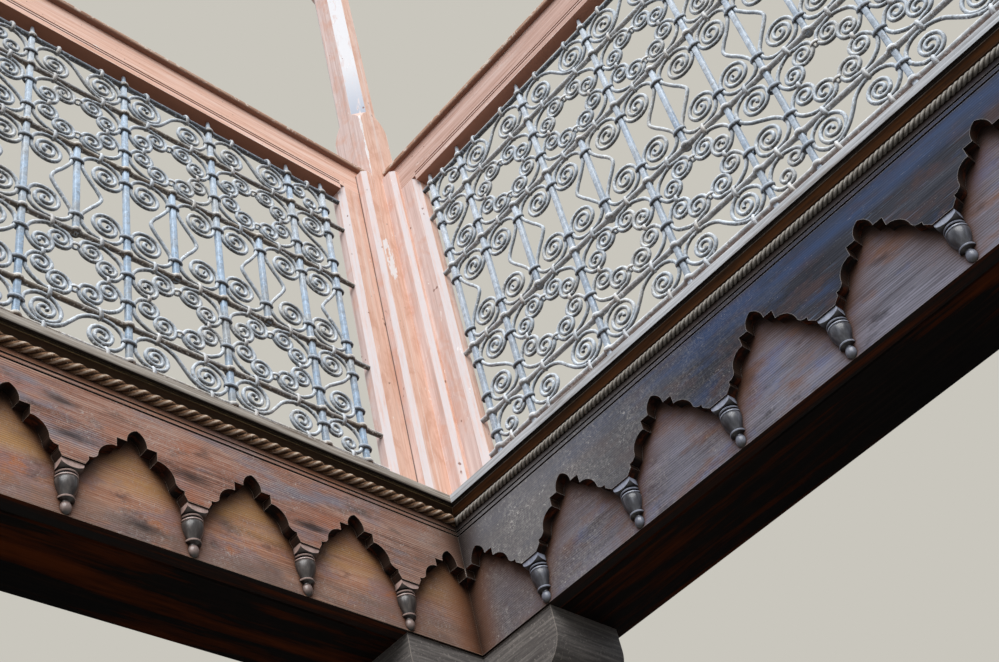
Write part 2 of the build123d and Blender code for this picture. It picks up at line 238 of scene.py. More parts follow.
def knots(tree, places, axis, radius):
    """Dark smears where branches were, drawn out along the grain; their places are in millimetres."""
    place = add(tree, "ShaderNodeTexCoord", output="Object")
    drawn_out = (0.3, 1, 1) if axis == "x" else (1, 0.3, 1)
    flat = add(tree, "ShaderNodeVectorMath", {0: place, 1: drawn_out}, operation="MULTIPLY")
    uneven = pattern(tree, along(axis, 60, 12), 3, 0.7)
    ragged = add(tree, "ShaderNodeMath", {0: uneven, 1: 0.022, 2: -0.011}, operation="MULTIPLY_ADD")
    together = None
    for spot in places:
        centre = tuple(v * share * mm for v, share in zip(spot, drawn_out))
        away = add(tree, "ShaderNodeVectorMath", {0: flat, 1: centre}, "Value", operation="DISTANCE")
        moved = add(tree, "ShaderNodeMath", {0: away, 1: ragged}, operation="ADD")
        limits = {"From Min": 1.7 * radius * mm, "From Max": 0.3 * radius * mm}
        near = add(tree, "ShaderNodeMapRange", {"Value": moved, **limits})
        if together is not None:
            near = add(tree, "ShaderNodeMath", {0: together, 1: near}, operation="MAXIMUM")
        together = near
    return together


def painted_shade_and_bounce_mask(tree, reach, start, end):
    """White in corners and under overhangs, where painted shade and warm bounce light go: what lies within
    reach millimetres shelters the surface.
    """
    open_sky = add(tree, "ShaderNodeAmbientOcclusion", {"Distance": reach * mm}, "AO", samples=6)
    return add(tree, "ShaderNodeMapRange", {"Value": open_sky, "From Min": end, "From Max": start})


def worn_edges(tree, radius, start, end):
    """White where a surface lies near an edge, from the difference to its rounded normal."""
    rounded = add(tree, "ShaderNodeBevel", {"Radius": radius * mm}, samples=4)
    flat = add(tree, "ShaderNodeNewGeometry", output="Normal")
    dot = add(tree, "ShaderNodeVectorMath", {0: rounded, 1: flat}, "Value", operation="DOT_PRODUCT")
    return add(tree, "ShaderNodeMapRange", {"Value": dot, "From Min": end, "From Max": start})


def finish_material(name, base, roughness, height, strength, depth, specular=0.5):
    """A material from its colour, its roughness and its relief, whose depth is in millimetres."""
    made = bpy.data.materials.new(name)
    made.use_nodes = True
    tree = made.node_tree
    shader = tree.nodes["Principled BSDF"]
    tree.links.new(base(tree), shader.inputs["Base Color"])
    shader.inputs["Specular IOR Level"].default_value = specular
    if callable(roughness):
        tree.links.new(roughness(tree), shader.inputs["Roughness"])
    else:
        shader.inputs["Roughness"].default_value = roughness
    relief = {"Strength": strength, "Distance": depth * mm, "Height": height(tree)}
    tree.links.new(add(tree, "ShaderNodeBump", relief), shader.inputs["Normal"])
    return made


def along(axis, length, across):
    """Blotch sizes for a grain that runs along an axis, x or y."""
    return (length, across, across) if axis == "x" else (across, length, across)


def carved_cedar(
    name, axis, tones, patches, rings, edge, gloss, dust, painted_bounce_tint, knot_places=(), corner=None, bands=()
):
    """Old oiled softwood: rippled growth rings, stained patches, pale specks of dust, rubbed edges; painted
    warm bounce light and painted shade under the scallops, painted shade on cut faces, beneath and in the
    grooves.
    """

    def base(tree):
        grain = pattern(tree, along(axis, 130, 3.2), 4, 0.7)
        broad = pattern(tree, along(axis, 420, 50), 5, 0.62, 0.5)
        both = add(tree, "ShaderNodeMath", {0: grain, 1: broad}, operation="ADD")
        middle = add(tree, "ShaderNodeMath", {0: both, 1: 0.5}, operation="MULTIPLY")
        tone = add(tree, "ShaderNodeValToRGB", {"Fac": middle}, stops=tones)
        for length, across, tint, limits in patches:
            tone = coat(tree, tone, tint, blotches(tree, along(axis, length, across), limits, 5, 0.65))
        for low, high, tint in bands:
            cloudy = blotches(tree, along(axis, 180, 30), [(0.36, 0.25), (0.58, 0.85)])
            tone = coat(tree, tone, tint, between(tree, low, high, 25), cloudy)
        if corner:
            far, near, grey = corner
            tone = coat(tree, tone, grey, beyond(tree, axis.upper(), far, near), 0.8)

        # Growth rings show clearly in places and fade in others
        weak, strong = rings
        graded = [(0.0, weak), (0.4, 0.97), (1.0, strong)]
        lines = add(tree, "ShaderNodeValToRGB", {"Fac": growth_rings(tree, axis)}, stops=graded)
        clear = blotches(tree, along(axis, 240, 30), [(0.36, 0.2), (0.58, 1.0)], 3)
        tone = add(
            tree, "ShaderNodeMix", {0: clear, 6: tone, 7: lines}, 2, data_type="RGBA", blend_type="MULTIPLY"
        )

        # Dust as a film, as specks and in fine scratches, on the right arm mostly near the corner
        dusty = [blotches(tree, (90, 90, 90), [(0.4, 0.3), (0.6, 1.0)], 3)]
        if corner and axis == "x":
            dusty.append(beyond(tree, "X", 1050, 250))
        film = blotches(tree, (6, 6, 6), [(0.46, 0.0), (0.62, 0.6 * dust)], 5, 0.85)
        tone = coat(tree, tone, "#a5a29e", film, *dusty)
        specks = blotches(tree, (11, 11, 11), [(0.58, 0.0), (0.63, dust)], 5, 0.85, 1.6)
        tone = coat(tree, tone, "#cfcbc5", specks, *dusty)
        fine = [(0.66, 0.0), (0.74, 0.8 * dust)]
        tone = coat(tree, tone, "#a9a39d", blotches(tree, along(axis, 24, 2.0), fine, 3, 0.7, 2.0))

        # Painted warm bounce light and then painted shade under the scallops, painted shade on cut faces,
        # and streaked dark browns as painted shade on faces turned down
        tone = coat(tree, tone, painted_bounce_tint, painted_shade_and_bounce_mask(tree, 80, 0.72, 0.97), 0.85)
        tone = coat(tree, tone, "#120b08", painted_shade_and_bounce_mask(tree, 50, 0.48, 0.9), 0.95)
        front = (0, -1, 0) if axis == "x" else (1, 0, 0)
        tone = coat(tree, tone, "#2c1e16", facing(tree, front, 0.9, 0.6, both_ways=True))
        tone = coat(tree, tone, edge, worn_edges(tree, 2.0, 0.75, 0.98))
        browns = [(0.42, "#0a0605"), (0.52, "#241008"), (0.66, "#5c2b14")]
        beneath = blotches(tree, along(axis, 420, 16), browns, 5, 0.65)
        tone = coat(tree, tone, beneath, facing(tree, (0, 0, -1), 0.4, 0.8))
        # Painted shade in the grooves
        tone = coat(tree, tone, "#120c0a", grooved(tree, *board_grooves))
        if knot_places:
            tone = coat(tree, tone, "#2a2322", knots(tree, knot_places, axis, knot_radius), 0.8)
        return tone

    def height(tree):
        return growth_rings(tree, axis)

    def roughness(tree):
        oiled = blotches(tree, along(axis, 300, 60), [(0.35, gloss), (0.65, gloss + 0.2)], 3)
        return coat(tree, oiled, "#ffffff", facing(tree, (0, 0, -1), 0.3, 0.7))

    return finish_material(name, base, roughness, height, 0.3, 0.6, 0.22)


def turned_cedar(name, body, head, chip_and_highlight_rim):
    """Turned drops: dark bodies with a hard sheen; heads, rims and balls paler, on the rims partly as
    painted highlight; pale chipped edges, partly painted highlight; painted shade in the hollows and
    beneath.
    """

    def base(tree):
        tone = blotches(tree, (9, 9, 40), [(0.3, body[0]), (0.5, body[1]), (0.72, body[2])], 3)
        # A paler tone for the heads, rims and ball; on the rims it is partly painted highlight
        dusty = blotches(tree, (12, 12, 30), [(0.3, head[0]), (0.7, head[1])], 3)
        tone = coat(tree, tone, dusty, beyond(tree, "Z", *drop_ball), 0.4)
        tone = coat(tree, tone, dusty, beyond(tree, "Z", *drop_head))
        for low, high in drop_rims:
            tone = coat(tree, tone, dusty, between(tree, low, high), 0.75)
        chips = blotches(tree, (7, 7, 7), [(0.42, 0.1), (0.56, 1.0)], 3, 0.7)
        # Pale chipped edges, partly painted highlight
        tone = coat(tree, tone, chip_and_highlight_rim, worn_edges(tree, 1.4, 0.7, 0.96), chips)
        # Painted shade in the hollows and on faces turned down
        tone = coat(tree, tone, "#0e0a09", painted_shade_and_bounce_mask(tree, 10, 0.45, 0.8), 0.9)
        return coat(tree, tone, "#1a1514", facing(tree, (0, 0, -1), 0.3, 0.9))

    def height(tree):
        return pattern(tree, (5, 5, 30), 2)

    return finish_material(name, base, 0.3, height, 0.12, 0.4, 0.55)


def rope_cedar(name, side, across, centre, tones, light, hollow_shade):
    """Carved twist: painted shade in the hollows and beneath, a patchy painted highlight along the ridge of
    each strand, pale specks of dust.
    """
    radius = rope_radius[side] * mm

    def base(tree):
        place = add(tree, "ShaderNodeTexCoord", output="Object")
        flat = add(tree, "ShaderNodeVectorMath", {0: place, 1: across}, operation="MULTIPLY")
        reach = add(tree, "ShaderNodeVectorMath", {0: flat, 1: centre}, "Value", operation="DISTANCE")
        low = {"Value": reach, "From Min": 0.88 * radius, "From Max": 0.72 * radius}
        sunk_shade = add(tree, "ShaderNodeMapRange", low)
        high = {"Value": reach, "From Min": 0.955 * radius, "From Max": 0.995 * radius}
        crest_highlight = add(tree, "ShaderNodeMapRange", high)
        tone = blotches(tree, (9, 9, 9), tones, 4, 0.7)
        worn = blotches(tree, (10, 10, 10), [(0.35, 0.45), (0.55, 1.0)], 4, 0.7)
        # Painted highlight along the ridge of each strand, in patches; painted shade in the hollows
        tone = coat(tree, tone, light, crest_highlight, worn)
        tone = coat(tree, tone, hollow_shade, sunk_shade)
        tone = coat(tree, tone, light, blotches(tree, (4, 4, 4), [(0.62, 0.0), (0.7, 0.7)], 3, 0.75))
        # Painted shade on faces turned down
        return coat(tree, tone, hollow_shade, facing(tree, (0, 0, -1), 0.2, 0.9), 0.35)

    def height(tree):
        return pattern(tree, (3, 3, 3), 3)

    return finish_material(name, base, 0.8, height, 0.2, 0.4, 0.12)


def shaded_moulding(name, axis, tones, cove, fillet):
    """Near-black fillet, painted as shade under the sill, over a browner cavetto, with the bare wood showing
    along the edge between them.
    """

    def base(tree):
        # Near-black tones: painted shade under the sill's overhang
        tone = blotches(tree, along(axis, 160, 3), tones)
        brown = blotches(tree, along(axis, 140, 9), [(0.32, 0.2), (0.6, 1.0)], 4, 0.7)
        tone = coat(tree, tone, cove, beyond(tree, "Z", *cove_top), brown)
        worn = blotches(tree, along(axis, 60, 8), [(0.34, 0.4), (0.5, 1.0)], 4, 0.7)
        return coat(tree, tone, fillet, worn_edges(tree, 1.6, 0.7, 0.97), worn)

    def height(tree):
        return pattern(tree, along(axis, 90, 3), 3)

    return finish_material(name, base, 0.6, height, 0.2, 0.4, 0.2)


def weathered_sill(name, axis, tones, foot):
    """Bare softwood gone silver grey, with fine checks along its grain, and painted shade along its foot and
    beneath.
    """

    def base(tree):
        tone = blotches(tree, along(axis, 140, 2.6), tones, 5, 0.72)
        stains = blotches(tree, along(axis, 220, 12), [(0.54, 0.0), (0.68, 0.75)], 4, 0.7)
        tone = coat(tree, tone, "#6b5d50", stains)
        cracks = blotches(tree, along(axis, 240, 1.8), [(0.3, 0.85), (0.36, 0.0)], 3)
        tone = coat(tree, tone, "#2e261f", cracks)
        # Painted shade along the lower part of the sill and on faces turned down
        tone = coat(tree, tone, "#2a211a", beyond(tree, "Z", *sill_shaded_foot), foot)
        tone = coat(tree, tone, "#1e1712", facing(tree, (0, 0, -1), 0.3, 0.8))
        return coat(tree, tone, "#e3dfd8", worn_edges(tree, 2.0, 0.7, 0.97), beyond(tree, "Z", *sill_nose))

    def height(tree):
        return pattern(tree, along(axis, 120, 2), 5)

    return finish_material(name, base, 0.85, height, 0.4, 0.8, 0.2)


def shade_darkened_beam(name, axis):
    """Softwood painted near black as shade under the gallery, with rust brown long streaks, strongest on
    faces turned down.
    """

    def base(tree):
        # Near-black base: painted shade
        tone = blotches(
            tree, along(axis, 200, 10), [(0.3, "#080606"), (0.55, "#15100e"), (0.75, "#2a1b15")]
        )
        streak = blotches(tree, along(axis, 800, 60), [(0.5, 0.0), (0.66, 0.95)], 5, 0.65)
        down = facing(tree, (0, 0, -1), 0.2, 0.8)
        beneath = add(tree, "ShaderNodeValToRGB", {"Fac": down}, stops=[(0.0, 0.3), (1.0, 1.0)])
        tone = coat(tree, tone, "#7e3d1a", streak, beneath)
        # Painted shade, deepest in corners and under overhangs
        return coat(tree, tone, "#060403", painted_shade_and_bounce_mask(tree, 120, 0.35, 0.75), 0.8)

    def height(tree):
        return pattern(tree, along(axis, 150, 6), 4)

    return finish_material(name, base, 0.8, height, 0.3, 0.8, 0.06)


def dusty_bolster(name):
    """Side and nose of an old corbel under dust, its grain fine and level."""

    def base(tree):
        tones = [(0.3, "#3c3836"), (0.5, "#5d5855"), (0.72, "#837d77")]
        tone = blotches(tree, (120, 120, 5), tones, 5, 0.65)
        specks = blotches(tree, (5, 5, 5), [(0.58, 0.0), (0.68, 0.5)], 3, 0.75)
        tone = coat(tree, tone, "#aaa299", specks)
        return coat(tree, tone, "#b0a69b", worn_edges(tree, 3.0, 0.7, 0.97))

    def height(tree):
        return pattern(tree, (120, 120, 3), 5)

    return finish_material(name, base, 0.7, height, 0.3, 0.6)


def arris_highlight_and_chips(tree):
    """White along the post's arris in the court: a thin painted highlight line above the rails, broken chips
    below.
    """
    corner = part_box("left_corner_batten")[1]
    place = add(tree, "ShaderNodeTexCoord", output="Object")
    level = add(tree, "ShaderNodeVectorMath", {0: place, 1: (1, 1, 0)}, operation="MULTIPLY")
    arris = {0: level, 1: (corner.x, corner.y, 0)}
    away = add(tree, "ShaderNodeVectorMath", arris, "Value", operation="DISTANCE")
    ragged = pattern(tree, (20, 20, 70), 4, 0.75)
    line = add(tree, "ShaderNodeValToRGB", {"Fac": ragged}, stops=[(0.34, 0.0), (0.66, 0.007)])
    chips = add(tree, "ShaderNodeValToRGB", {"Fac": ragged}, stops=[(0.44, 0.0), (0.56, 0.015)])
    high = {0: line, 1: beyond(tree, "Z", *above_rails)}
    above = add(tree, "ShaderNodeMath", high, operation="MULTIPLY")
    low = {0: chips, 1: between(tree, *chipped, 20)}
    below = add(tree, "ShaderNodeMath", low, operation="MULTIPLY")
    width = add(tree, "ShaderNodeMath", {0: above, 1: below}, operation="MAXIMUM")
    return add(tree, "ShaderNodeMath", {0: away, 1: width}, operation="LESS_THAN")


def limewashed_timber(name, shadow_line=None):
    """Thin salmon limewash on softwood: streaked along the grain, chalky on the chamfers."""

    def base(tree):
        streaks = pattern(tree, (6, 6, 220), 5, 0.65)
        warm_tones = [(0.3, "#d3a48b"), (0.47, "#e5bba5"), (0.6, "#eac4b1"), (0.74, "#f1d6c9")]
        sky_lit_tones = [(0.3, "#bda197"), (0.47, "#d2b7af"), (0.6, "#dac3bc"), (0.74, "#e6d6d0")]
        warm = add(tree, "ShaderNodeValToRGB", {"Fac": streaks}, stops=warm_tones)
        sky_lit = add(tree, "ShaderNodeValToRGB", {"Fac": streaks}, stops=sky_lit_tones)
        # Faces turned to -Y get a cooler, greyer copy of the wash: painted sky light
        tone = coat(tree, warm, sky_lit, facing(tree, (0, -1, 0), 0.4, 0.9))
        tone = coat(
            tree, tone, "#d09a80", blotches(tree, (50, 50, 90), [(0.48, 0.0), (0.64, 0.6)], 5, 0.7, 0.8)
        )
        tone = coat(tree, tone, "#ead9d2", blotches(tree, (16, 16, 420), [(0.55, 0.0), (0.7, 0.6)]))

        # Chamfers are rubbed. The shaft's chamfer that faces the court is painted pale and bluish in flaked
        # patches: partly bare wood, partly painted sky highlight
        slope = facing(tree, (0.7071, 0.7071, 0), 0.94, 0.99, both_ways=True)
        rubbed = blotches(tree, (7, 7, 120), [(0.3, 0.15), (0.52, 0.95)], 4, 0.7)
        tone = coat(tree, tone, "#d5cccc", slope, rubbed)
        court = facing(tree, (0.7071, -0.7071, 0), 0.94, 0.99)
        flaked = blotches(tree, (26, 26, 120), [(0.38, 0.0), (0.46, 1.0)], 4, 0.75)
        pale = coat(tree, "#a9b1bf", "#dddcde", beyond(tree, "Z", *shaft_paler))
        tone = coat(tree, tone, pale, court, flaked, beyond(tree, "Z", *shaft_start))

        # Flakes, worn edges, a painted highlight along the arris with chips below, and rusty nail heads
        tone = coat(tree, tone, "#f4efec", blotches(tree, (14, 14, 60), [(0.66, 0.0), (0.7, 0.85)], 4, 0.75))
        tone = coat(tree, tone, "#f0e4df", worn_edges(tree, 2.2, 0.75, 0.98))
        tone = coat(tree, tone, "#efeae8", arris_highlight_and_chips(tree))
        nails = blotches(tree, (12, 12, 20), [(0.775, 0.0), (0.8, 0.85)], 0, 0.4)
        few = blotches(tree, (70, 70, 90), [(0.56, 0.0), (0.6, 1.0)], 1, 0.5)
        tone = coat(tree, tone, "#7a4a38", nails, few)
        if shadow_line:
            tone = coat(tree, tone, "#3d2a24", beyond(tree, *shadow_line), 0.85)
        # Painted shade on faces turned down
        return coat(tree, tone, "#7a4230", facing(tree, (0, 0, -1), 0.5, 0.9))

    def height(tree):
        return pattern(tree, (3, 3, 120), 5, 0.7)

    return finish_material(name, base, 0.7, height, 0.3, 0.6)


def limewashed_rail(name, axis, tones, under):
    """The same limewash with its grain along a rail, with painted shade beneath and in the grooves."""

    def base(tree):
        tone = blotches(tree, along(axis, 220, 6), tones, 5, 0.65)
        tone = coat(tree, tone, "#e8d8d1", blotches(tree, along(axis, 420, 22), [(0.58, 0.0), (0.74, 0.5)]))
        flakes = blotches(tree, along(axis, 60, 14), [(0.66, 0.0), (0.7, 0.8)], 4, 0.75)
        tone = coat(tree, tone, "#f0e8e2", flakes)
        tone = coat(tree, tone, "#f2e2da", worn_edges(tree, 2.2, 0.75, 0.98))
        # Painted shade in the grooves
        tone = coat(tree, tone, "#8f5840", grooved(tree, *rail_grooves))
        tone = coat(tree, tone, "#7a4a38", blotches(tree, (7, 7, 7), [(0.76, 0.0), (0.785, 0.8)], 1, 0.4))
        # Painted shade on faces turned down
        return coat(tree, tone, under, facing(tree, (0, 0, -1), 0.3, 0.9))

    def height(tree):
        return pattern(tree, along(axis, 120, 3), 5, 0.7)

    return finish_material(name, base, 0.7, height, 0.3, 0.6)


def dusty_cap(name, axis):
    """The capping: pale brown where dust flakes off its nose, and painted shade in dark brown beneath."""

    def base(tree):
        tones = [(0.3, "#8a6049"), (0.5, "#b08a72"), (0.72, "#c9ab97")]
        tone = blotches(tree, along(axis, 150, 6), tones, 5, 0.65)
        tone = coat(tree, tone, "#d9cdc0", blotches(tree, (18, 18, 18), [(0.54, 0.0), (0.6, 0.8)], 4, 0.75))
        # Painted shade on faces turned down
        return coat(tree, tone, "#7d5644", facing(tree, (0, 0, -1), 0.3, 0.9))

    def height(tree):
        return pattern(tree, along(axis, 120, 4), 5, 0.7)

    return finish_material(name, base, 0.8, height, 0.35, 0.8)


def painted_forged_iron(name, upper, middle, lower, stain, stain_limits, rust, rust_limits):
    """Wrought iron under old paint: hammered unevenly, a painted highlight on its upper side, dark and brown
    painted shade beneath.
    """

    def base(tree):
        tone = coat(tree, middle, stain, blotches(tree, (130, 130, 130), stain_limits, 4, 0.65))
        # Painted highlight on faces turned up, painted shade on faces turned down
        tone = coat(tree, tone, upper, facing(tree, (0, 0, 1), -0.1, 0.7))
        tone = coat(tree, tone, lower, facing(tree, (0, 0, -1), 0.1, 0.8))
        tone = coat(tree, tone, rust, blotches(tree, (8, 8, 8), rust_limits, 5, 0.8))
        flakes = blotches(tree, (7, 7, 7), [(0.57, 0.0), (0.62, 0.75)], 4, 0.8, 0.8)
        tone = coat(tree, tone, upper, flakes)
        uneven = blotches(tree, (20, 20, 20), [(0.36, 0.66), (0.6, 1.08)], 5, 0.75)
        return add(
            tree, "ShaderNodeMix", {0: 1.0, 6: tone, 7: uneven}, 2, data_type="RGBA", blend_type="MULTIPLY"
        )

    def height(tree):
        return pattern(tree, (5, 5, 5), 3, 0.6)

    return finish_material(name, base, 0.5, height, 0.45, 0.7)


def deselect():
    for item in bpy.context.selected_objects:
        item.select_set(False)


def choose(item):
    """Makes one object the only selected and the active one."""
    deselect()
    item.select_set(True)
    bpy.context.view_layer.objects.active = item


def join(items, name):
    """Joins meshes into one piece."""
    deselect()
    for item in items:
        item.select_set(True)
    bpy.context.view_layer.objects.active = items[0]
    if len(items) > 1:
        bpy.ops.object.join()
    items[0].name = name
    items[0].data.name = name
    return items[0]


def copies(item, places):
    """Copies a small mesh to each place, given as a matrix, and removes the original."""
    made = []
    for place in places:
        twin = bpy.data.objects.new(item.name, item.data.copy())
        twin.data.transform(place)
        bpy.context.collection.objects.link(twin)
        made.append(twin)
    bpy.data.objects.remove(item)
    return made


def lay_in_place(item, side):
    """Moves a piece from its arm's frame to the part's frame, mirrored for the left arm."""
    if side == "right":
        place = mathutils.Matrix.Translation((corner_line, -corner_line, 0))
    else:
        turn = mathutils.Matrix(((0, -1, 0, 0), (-1, 0, 0, 0), (0, 0, 1, 0), (0, 0, 0, 1)))
        place = mathutils.Matrix.Translation((corner_line, -corner_line, 0)) @ turn
    item.data.transform(place)
    if side == "left":
        item.data.flip_normals()
    return item


def dress(item, material, slot, *replaced):
    """Gives a finished piece its finish and its body, and hides the nodes that it stands for."""
    item.data.materials.clear()
    item.data.materials.append(material)
    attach(item, "root")
    if replaced:
        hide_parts(*replaced)
    return item


def bent_bars(name, paths, thickness, sides):
    """Round bars bent along smooth paths of (along, height, swell) points in the grille's plane."""
    deselect()
    bpy.ops.curve.primitive_bezier_curve_add()
    item = bpy.context.object
    curve = item.data
    curve.splines.clear()
    curve.dimensions = "3D"
    curve.resolution_u = 3
    curve.bevel_depth = thickness / 2 * mm
    curve.bevel_resolution = (sides - 4) // 2
    curve.use_fill_caps = True
    for path in paths:
        spline = curve.splines.new("BEZIER")
        spline.bezier_points.add(len(path) - 1)
        for point, (x, z, swell) in zip(spline.bezier_points, path):
            point.co = (x * mm, grille_depth * mm, z * mm)
            point.handle_left_type = "AUTO"
            point.handle_right_type = "AUTO"
            point.radius = swell
    choose(item)
    bpy.ops.object.convert(target="MESH")
    item = bpy.context.object
    item.name = name
    return item


def curl(centre, radius, start, turns, clockwise):
    """Points of a spiral from its outer end to its eye, one every 45 degrees."""
    steps = round(turns * 8)
    points = []
    for k in range(steps + 1):
        share = k / steps
        angle = math.radians(start - 45 * k if clockwise else start + 45 * k)
        reach = radius + (eye_radius - radius) * share
        points.append((centre[0] + reach * math.cos(angle), centre[1] + reach * math.sin(angle)))
    return points


class Scroll:
    """One bent wire of a bay, with the places where collars hold it to uprights and level bars."""

    def __init__(self, points, collars=(), ties=(), rings=()):
        self.points = list(points)
        self.collars = list(collars)
        self.ties = list(ties)
        self.rings = list(rings)

    def moved(self, change):
        return Scroll(
            [change(*p) for p in self.points],
            [change(*p) for p in self.collars],
            [change(*p) for p in self.ties],
            [(*change(x, z), kind) for x, z, kind in self.rings],
        )


beside = (upright_bar + wire) / 2
under = (level_bar + wire) / 2


def running_scroll(width, height):
    """A wire with a curl at each end that runs from the left upright over and down to the right one."""
    first = curl((58, 0.42 * height), 0.3 * height, -80, 2.1, False)
    second = curl((width - 56, 0.5 * height), 0.37 * height, 100, 2.25, False)
    middle = [
        (50, under),
        (25, 0.22 * height),
        (beside, 0.52 * height),
        (25, 0.8 * height),
        (64, height - under),
        (100, 0.76 * height),
        (122, 0.5 * height),
        (146, 0.24 * height),
        (width - 52, under),
        (width - 25, 0.22 * height),
        (width - beside, 0.52 * height),
        (width - 25, 0.8 * height),
        (width - 60, height - under),
    ]
    return [
        Scroll(
            first[::-1] + middle + second[1:],
            [(0, 0.52 * height), (width, 0.52 * height)],
            [(50, 0), (64, height), (width - 52, 0), (width - 60, height)],
        )
    ]


def arched_curls(width, height):
    """The half bay's wire between two level bars close together: a low and a high curl under one arch."""
    first = curl((43, 0.33 * height), 0.2 * height, -90, 1.4, False)
    second = curl((width - 31, 0.6 * height), 0.185 * height, -45, 1.35, True)
    middle = [
        (24, 0.17 * height),
        (beside, 0.38 * height),
        (17, 0.7 * height),
        (44, height - under),
        (74, 0.86 * height),
        (width - beside, 0.64 * height),
    ]
    return [
        Scroll(
            first[::-1] + middle + second,
            [(0, 0.4 * height), (width, 0.62 * height)],
            [(43, 0), (48, height)],
        )
    ]


def corner_curls(width, height):
    """Four wires, one in each corner of the bay, each with a curl at both ends."""
    upper = curl((81, 43), 29, -60, 2, False)
    lower = curl((44.5, 73), 28, 160, 2, True)
    points = upper[::-1] + [(82, 15), (62, under), (34, 22), (16, 40), (beside, 62)] + lower
    wires = []
    for turn_over in (False, True):
        for turn_round in (False, True):
            across = (lambda x: width - x) if turn_round else (lambda x: x)
            upwards = (lambda z: z) if turn_over else (lambda z: height - z)
            wires.append(
                Scroll(points, [(0, 64)], [(64, 0)]).moved(
                    lambda x, z, across=across, upwards=upwards: (across(x), upwards(z))
                )
            )
    wires[0].rings = [
        (width / 2, height - 43, "level"),
        (width / 2, 43, "level"),
        (46, height / 2, "upright"),
        (width - 46, height / 2, "upright"),
    ]
    return wires


def double_curl(width, height):
    """The half bay's wire between level bars far apart: a curl above and one below, the same turned."""
    upper = curl((0.45 * width, height - 50), 33, 172, 2.1, False)
    over = [
        (22, height - 25),
        (0.52 * width, height - under),
        (width - 20, height - 25),
        (width - beside, height - 54),
        (width - 26, height - 82),
        (width / 2, height / 2),
    ]
    start = upper[::-1] + over
    turned = [(width - x, height - z) for x, z in start[:-1]]
    return [
        Scroll(
            start + turned[::-1],
            [(0, height - 50), (width, height - 54), (0, 54), (width, 50)],
            [(0.52 * width, height), (0.48 * width, 0)],
        )
    ]


def vase_wire(width, height):
    """A wire that curls by the plain upright and swells like half a vase by the other one."""
    curled = curl((48, height - 59), 38, 166, 2.3, False)
    out = 57
    upper = [
        (24, height - 22),
        (60, height - under),
        (94, height - 24),
        (width - beside, height - 52),
        (width - 0.45 * out, height - 86),
        (width - out + 4, height / 2 + 13),
    ]
    start = curled[::-1] + upper
    turned = [(x, height - z) for x, z in start]
    return [
        Scroll(
            start + [(width - out, height / 2)] + turned[::-1],
            [(0, height - 50), (width, height - 50), (0, 50), (width, 50)],
            [(60, height), (60, 0)],
        )
    ]


def mirrored(wires, width):
    return [w.moved(lambda x, z: (width - x, z)) for w in wires]


def upright_places(arm):
    """Where the uprights from rail to rail stand."""
    places = [arm["first_bar"]]
    for bay in arm["bays"]:
        places.append(places[-1] + (half_bay if bay == half else arm["bay_pitch"]))
    return places


def middle_row_uprights(arm):
    """All uprights of the middle row; every second one carries the vases."""
    places = upright_places(arm)
    row = []
    for bay, left, right in zip(arm["bays"], places, places[1:]):
        row.append(left)
        if bay == full:
            row.append((left + right) / 2)
    return row + [places[-1]]


def row_wires(arm, row):
    """All wires of one row of the screen, from the lowest row 0 to the highest row 4."""
    low, high = bar_levels[row], bar_levels[row + 1]
    height = high - low
    wires = []
    if row == 2:
        places = middle_row_uprights(arm)
        for k, (left, right) in enumerate(zip(places, places[1:])):
            width = right - left
            cell = vase_wire(width, height)
            if k % 2 == 0:
                cell = mirrored(cell, width)
            wires += [w.moved(lambda x, z, left=left: (left + x, low + z)) for w in cell]
        return wires
    places = upright_places(arm)
    full_bays = 0
    for bay, left, right in zip(arm["bays"], places, places[1:]):
        width = right - left
        low_row = row in (0, 4)
        if bay == full:
            cell = running_scroll(width, height) if low_row else corner_curls(width, height)
            turned = low_row and full_bays % 2 == (1 if row == 0 else 0)
            full_bays += 1
        else:
            cell = arched_curls(width, height) if low_row else double_curl(width, height)
            turned = row == 1
        if turned:
            cell = mirrored(cell, width)
        wires += [w.moved(lambda x, z, left=left: (left + x, low + z)) for w in cell]
    return wires


def merged(places, reach):
    """Places that lie closer than reach become one, half way between them."""
    groups = []
    for x, z in sorted(places):
        for group in groups:
            if abs(group[0][0] - x) < reach and abs(group[0][1] - z) < reach:
                group.append((x, z))
                break
        else:
            groups.append([(x, z)])
    return [(sum(p[0] for p in g) / len(g), sum(p[1] for p in g) / len(g)) for g in groups]


def band(name, half_width, half_depth, half_height):
    """A forged collar: a flattened ring round bars that stand upright in it."""
    deselect()
    bpy.ops.mesh.primitive_torus_add(
        major_segments=12, minor_segments=5, major_radius=1.0, minor_radius=0.28
    )
    item = bpy.context.object
    item.name = name
    scale = mathutils.Matrix.Diagonal(
        (half_width / 1.28 * mm, half_depth / 1.28 * mm, half_height / 0.28 * mm, 1)
    )
    item.data.transform(scale)
    choose(item)
    bpy.ops.object.shade_smooth()
    return item


def at(x, z, turn=0.0, lean=0.0):
    """Where a band sits in the grille's plane, turned about the depth axis."""
    place = mathutils.Matrix.Translation((x * mm, grille_depth * mm, z * mm))
    turn = mathutils.Matrix.Rotation(math.radians(turn + lean), 4, "Y")
    return place @ turn


def collars(side, wires):
    """Collars that hold the wires to the uprights."""
    spread = upright_bar / 2 + wire + 2.5
    spots = merged([p for w in wires for p in w.collars], 22)
    places = [at(x, z, lean=random.uniform(-5, 5)) for x, z in spots]
    made = copies(band("collar", spread, upright_bar / 2 + 4, collar_height / 2), places)
    return join(made, side + "_collars")


